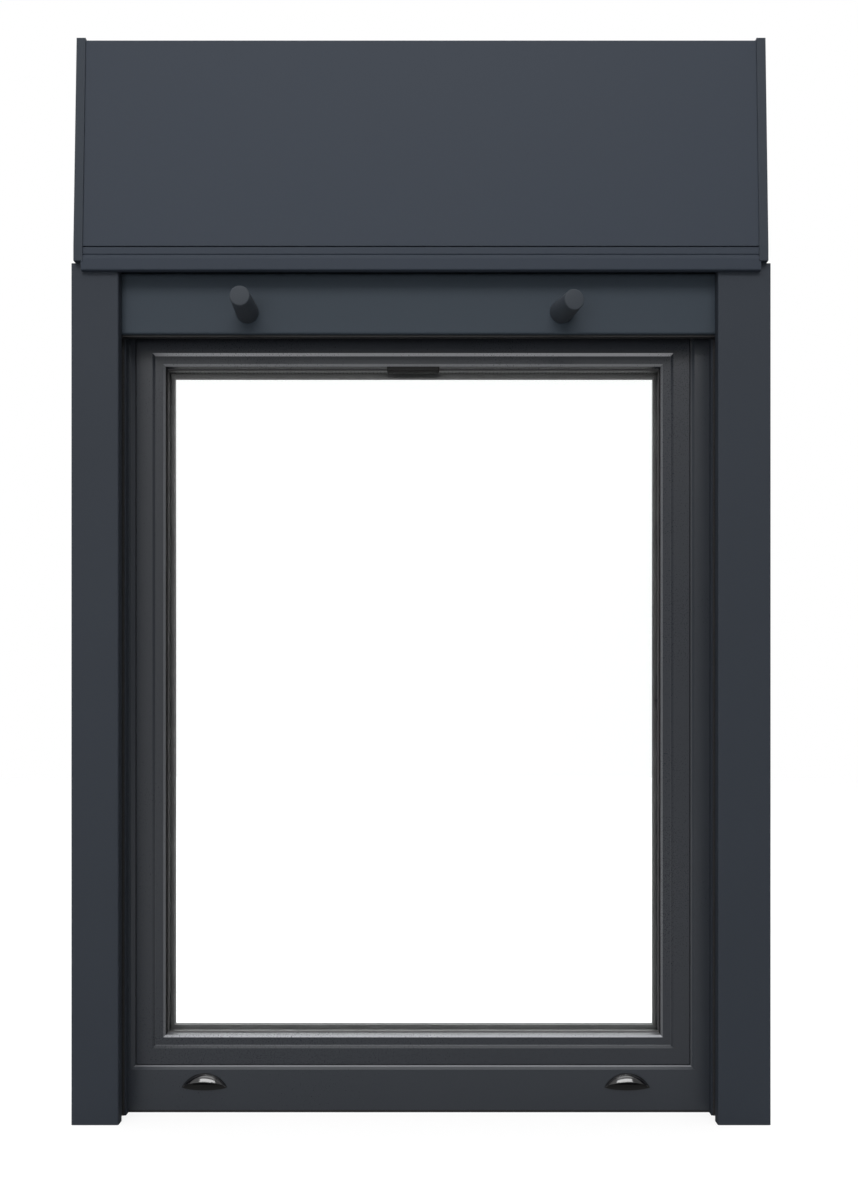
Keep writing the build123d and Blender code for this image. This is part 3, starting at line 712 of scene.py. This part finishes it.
# Floor: a wide sheet of plain board. It looks white to the camera, also through the glass,
# is only dimly seen in mirrors, and keeps the soft shadow of the window.
floor_reach = 6
floor_gap = 0.3 * mm
floor_glow = 0.84
floor_in_mirrors = 0.12
floor_through_panes = 1.25
sheet = bmesh.new()
bmesh.ops.create_grid(sheet, x_segments=1, y_segments=1, size=floor_reach)
bmesh.ops.translate(sheet, vec=(0, 0, -floor_gap), verts=sheet.verts)
floor_mesh = bpy.data.meshes.new("floor")
sheet.to_mesh(floor_mesh)
sheet.free()
floor = bpy.data.objects.new("floor", floor_mesh)
scene.collection.objects.link(floor)


def seen_directly(finish, panes=1.0):
    """1 for what the camera sees, `panes` for what it sees through the glass, 0 elsewhere."""
    camera = finish.node("ShaderNodeLightPath", output="Is Camera Ray")
    through = finish.node("ShaderNodeLightPath", output="Is Transmission Ray")
    mirrors = finish.node("ShaderNodeLightPath", output="Glossy Depth")
    walls = finish.node("ShaderNodeLightPath", output="Diffuse Depth")
    return camera + through * finish.test("LESS_THAN", mirrors + walls, 0.5) * panes


board = Finish(bpy.data.materials.new("white_board"))
mirrored = board.node("ShaderNodeLightPath", output="Is Glossy Ray")
seen = seen_directly(board, floor_through_panes) * floor_glow
glow = board.node("ShaderNodeEmission", {}, {"Strength": seen + mirrored * floor_in_mirrors})
matt = board.node("ShaderNodeBsdfDiffuse", {}, {"Color": (0.2, 0.2, 0.2, 1)})
paper = board.node("ShaderNodeAddShader", {}, {0: matt, 1: glow})
board.node("ShaderNodeOutputMaterial", {}, {"Surface": paper})
floor_mesh.materials.append(board.owner)


# Studio: white all round and overhead, dimmer in front of the window, so that the dark
# faces stay dark and their edges catch the light. The dim front is a little paler at its
# left than at its right.
front_shade = 0.92
room_through_panes = 1.16
room = Finish(bpy.data.worlds.new("studio"))
scene.world = room.owner
towards = room.node("ShaderNodeTexCoord", output="Generated")
aside = room.along(towards, rightward)
ahead = room.ramp(room.along(towards, outdoors), start=0.2, end=0.5, low=0.0, high=1.0)
above = room.ramp(room.along(towards, upward), start=0.08, end=0.35, low=0.14, high=1.6)
above = above * room.ramp(aside * aside, start=0.04, end=0.28, low=1.0, high=0.22)
fill = room.ramp(aside, start=-0.5, end=0.5, low=0.46, high=0.24)
level = above * (1 - ahead * front_shade) + ahead * fill
shown = level * (1 - seen_directly(room)) + seen_directly(room, room_through_panes)
walls = room.node("ShaderNodeBackground", {}, {"Color": (1, 1, 1, 1), "Strength": shown})
room.node("ShaderNodeOutputWorld", {}, {"Surface": walls})


def softbox(name, at, towards, wide, high, watts, mirrored=False):
    """A rectangular lamp behind a diffuser, aimed at a point of the window. Only a
    `mirrored` one shows in gloss and through the glass."""
    lamp = bpy.data.lights.new(name, "AREA")
    lamp.shape = "RECTANGLE"
    lamp.size = wide
    lamp.size_y = high
    lamp.energy = watts
    held = bpy.data.objects.new(name, lamp)
    held.location = at
    held.rotation_euler = (Vector(towards) - Vector(at)).to_track_quat("-Z", "Y").to_euler()
    held.visible_glossy = mirrored
    held.visible_transmission = mirrored
    scene.collection.objects.link(held)


softbox("front_bank", (-1.0, -2.08, 2.33), (0, 0, 0.86), wide=3.0, high=2.0, watts=7)
softbox("key_strip", (0, -3.4, 3.7), (0, 0, 0.5), wide=4.4, high=1.7, watts=88, mirrored=True)
softbox("low_fill", (-0.6, -2.4, 0.45), (0, 0, 0.5), wide=1.6, high=0.8, watts=12)
softbox("room_side", (0.5, 2.0, 2.2), (0, 0.1, 0.6), wide=2.0, high=1.4, watts=38)
softbox("left_side", (-2.3, 0.3, 1.4), (0, 0, 0.6), wide=1.4, high=1.4, watts=19)
softbox("right_side", (2.3, 0.3, 1.4), (0, 0, 0.6), wide=1.4, high=1.4, watts=19)


# Camera: straight on, a little below the middle of the glass, a metre off the guides, with
# the lens shifted up and to the left as in the photograph.
photo_height = 1180
eye = bpy.data.cameras.new("eye")
eye.lens = 30.508
eye.shift_x = -11 / photo_height
eye.shift_y = 130 / photo_height
camera = bpy.data.objects.new("eye", eye)
camera.location = (0.019, -1.063, 0.4052)
camera.rotation_euler = (math.pi / 2, 0, 0)
scene.collection.objects.link(camera)
scene.camera = camera
